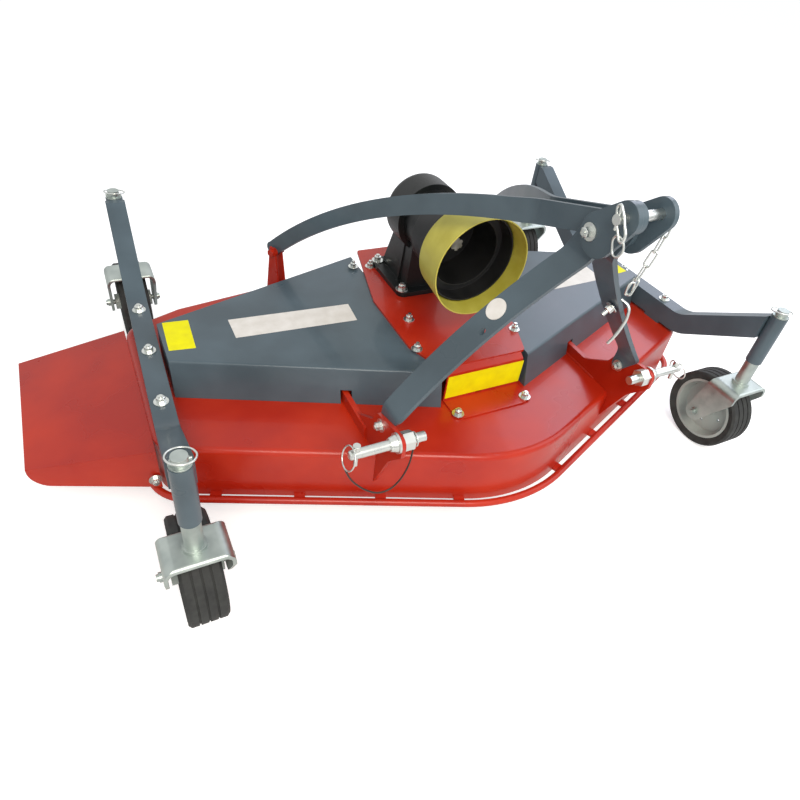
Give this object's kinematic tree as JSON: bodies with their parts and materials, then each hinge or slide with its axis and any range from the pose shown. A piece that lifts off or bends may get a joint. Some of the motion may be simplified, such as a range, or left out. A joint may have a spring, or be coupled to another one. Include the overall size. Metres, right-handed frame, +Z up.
{
  "type": "tractor finishing mower",
  "caption": "Side-discharge finishing mower for a tractor's three-point hitch, driven by a PTO shaft and carried on swivelling caster wheels.",
  "frame": {"origin": "middle of the bounding box, at floor level", "axes": "+X across the machine away from the discharge chute, -Y towards the tractor, +Z up"},
  "size_m": [1.9228, 1.346, 0.919],
  "materials": {
    "arm_grey": "anthracite powder coat",
    "bare_steel": "plain machined steel",
    "cord": "black plastic coated cord",
    "deck_red": "gloss red powder coat",
    "gearbox_black": "black painted casting",
    "guard_black": "moulded black guard",
    "guard_yellow": "moulded yellow guard",
    "rim_grey": "pale grey paint",
    "tyre": "solid rubber",
    "zinc": "zinc plated"
  },
  "bodies": {
    "frame": {"arch_post_left": "deck_red", "arch_post_right": "deck_red", "beam_left": "arm_grey", "beam_right": "arm_grey", "centre_plate": "deck_red", "chute": "deck_red", "cover_left": "arm_grey", "cover_right": "arm_grey", "deck": "deck_red", "deck_rim": "deck_red", "gearbox": "gearbox_black", "guard_inner": "guard_black", "hitch_arch_left": "arm_grey", "hitch_arch_right": "arm_grey", "hitch_leg_left": "arm_grey", "hitch_leg_right": "arm_grey", "hitch_plate_left": "deck_red", "hitch_plate_right": "deck_red", "lanyard_left": "cord", "lower_pin_left": "zinc", "lower_pin_right": "zinc", "mast_plate_left": "arm_grey", "mast_plate_right": "arm_grey", "pto_guard": "guard_yellow", "spindle_housings": "deck_red", "top_pin": "zinc"},
    "caster_front_left": {"fork_front_left": "zinc"},
    "wheel_front_left": {"rim_front_left": "rim_grey", "tyre_front_left": "tyre"},
    "caster_front_right": {"fork_front_right": "zinc"},
    "wheel_front_right": {"rim_front_right": "rim_grey", "tyre_front_right": "tyre"},
    "caster_rear_left": {"fork_rear_left": "zinc"},
    "wheel_rear_left": {"rim_rear_left": "rim_grey", "tyre_rear_left": "tyre"},
    "caster_rear_right": {"fork_rear_right": "zinc"},
    "wheel_rear_right": {"rim_rear_right": "rim_grey", "tyre_rear_right": "tyre"},
    "blade_left": {"blade_left": "bare_steel"},
    "blade_centre": {"blade_centre": "bare_steel"},
    "blade_right": {"blade_right": "bare_steel"},
    "pto_shaft": {"pto_shaft": "bare_steel"},
    "linch_pin_left": {"linch_pin_left": "zinc"},
    "linch_pin_right": {"linch_pin_right": "zinc"}
  },
  "joints": [
    {"name": "swivel_front_left", "type": "hinge", "parent": "frame", "child": "caster_front_left", "pos_m": [-0.6692, -0.553, 0.25], "axis": [0, 0, 1], "continuous": true},
    {"name": "roll_front_left", "type": "hinge", "parent": "caster_front_left", "child": "wheel_front_left", "pos_m": [-0.6692, -0.507, 0.118], "axis": [1, 0, 0], "continuous": true},
    {"name": "swivel_front_right", "type": "hinge", "parent": "frame", "child": "caster_front_right", "pos_m": [0.8804, -0.553, 0.25], "axis": [0, 0, 1], "continuous": true},
    {"name": "roll_front_right", "type": "hinge", "parent": "caster_front_right", "child": "wheel_front_right", "pos_m": [0.8804, -0.507, 0.118], "axis": [1, 0, 0], "continuous": true},
    {"name": "swivel_rear_left", "type": "hinge", "parent": "frame", "child": "caster_rear_left", "pos_m": [-0.6404, 0.509, 0.25], "axis": [0, 0, 1], "continuous": true},
    {"name": "roll_rear_left", "type": "hinge", "parent": "caster_rear_left", "child": "wheel_rear_left", "pos_m": [-0.6404, 0.555, 0.118], "axis": [1, 0, 0], "continuous": true},
    {"name": "swivel_rear_right", "type": "hinge", "parent": "frame", "child": "caster_rear_right", "pos_m": [0.8516, 0.509, 0.25], "axis": [0, 0, 1], "continuous": true},
    {"name": "roll_rear_right", "type": "hinge", "parent": "caster_rear_right", "child": "wheel_rear_right", "pos_m": [0.8516, 0.555, 0.118], "axis": [1, 0, 0], "continuous": true},
    {"name": "spindle_centre", "type": "hinge", "parent": "frame", "child": "blade_centre", "pos_m": [0.1056, -0.293, 0.165], "axis": [0, 0, -1], "continuous": true},
    {"name": "spindle_left", "type": "hinge", "parent": "frame", "child": "blade_left", "pos_m": [-0.3944, -0.093, 0.165], "axis": [0, 0, -1], "continuous": true},
    {"name": "spindle_right", "type": "hinge", "parent": "frame", "child": "blade_right", "pos_m": [0.6056, -0.093, 0.165], "axis": [0, 0, -1], "continuous": true},
    {"name": "pto_input", "type": "hinge", "parent": "frame", "child": "pto_shaft", "pos_m": [0.1056, -0.117, 0.566], "axis": [0, -1, 0], "continuous": true},
    {"name": "linch_lift_left", "type": "slide", "parent": "frame", "child": "linch_pin_left", "axis": [0, 0, 1], "range_m": [0, 0.09]},
    {"name": "linch_lift_right", "type": "slide", "parent": "frame", "child": "linch_pin_right", "axis": [0, 0, 1], "range_m": [0, 0.09]}
  ],
  "couplings": [
    {"joint": "spindle_left", "follows": "spindle_centre", "ratio": 1},
    {"joint": "spindle_right", "follows": "spindle_centre", "ratio": 1},
    {"joint": "pto_input", "follows": "spindle_centre", "ratio": 0.1875}
  ]
}
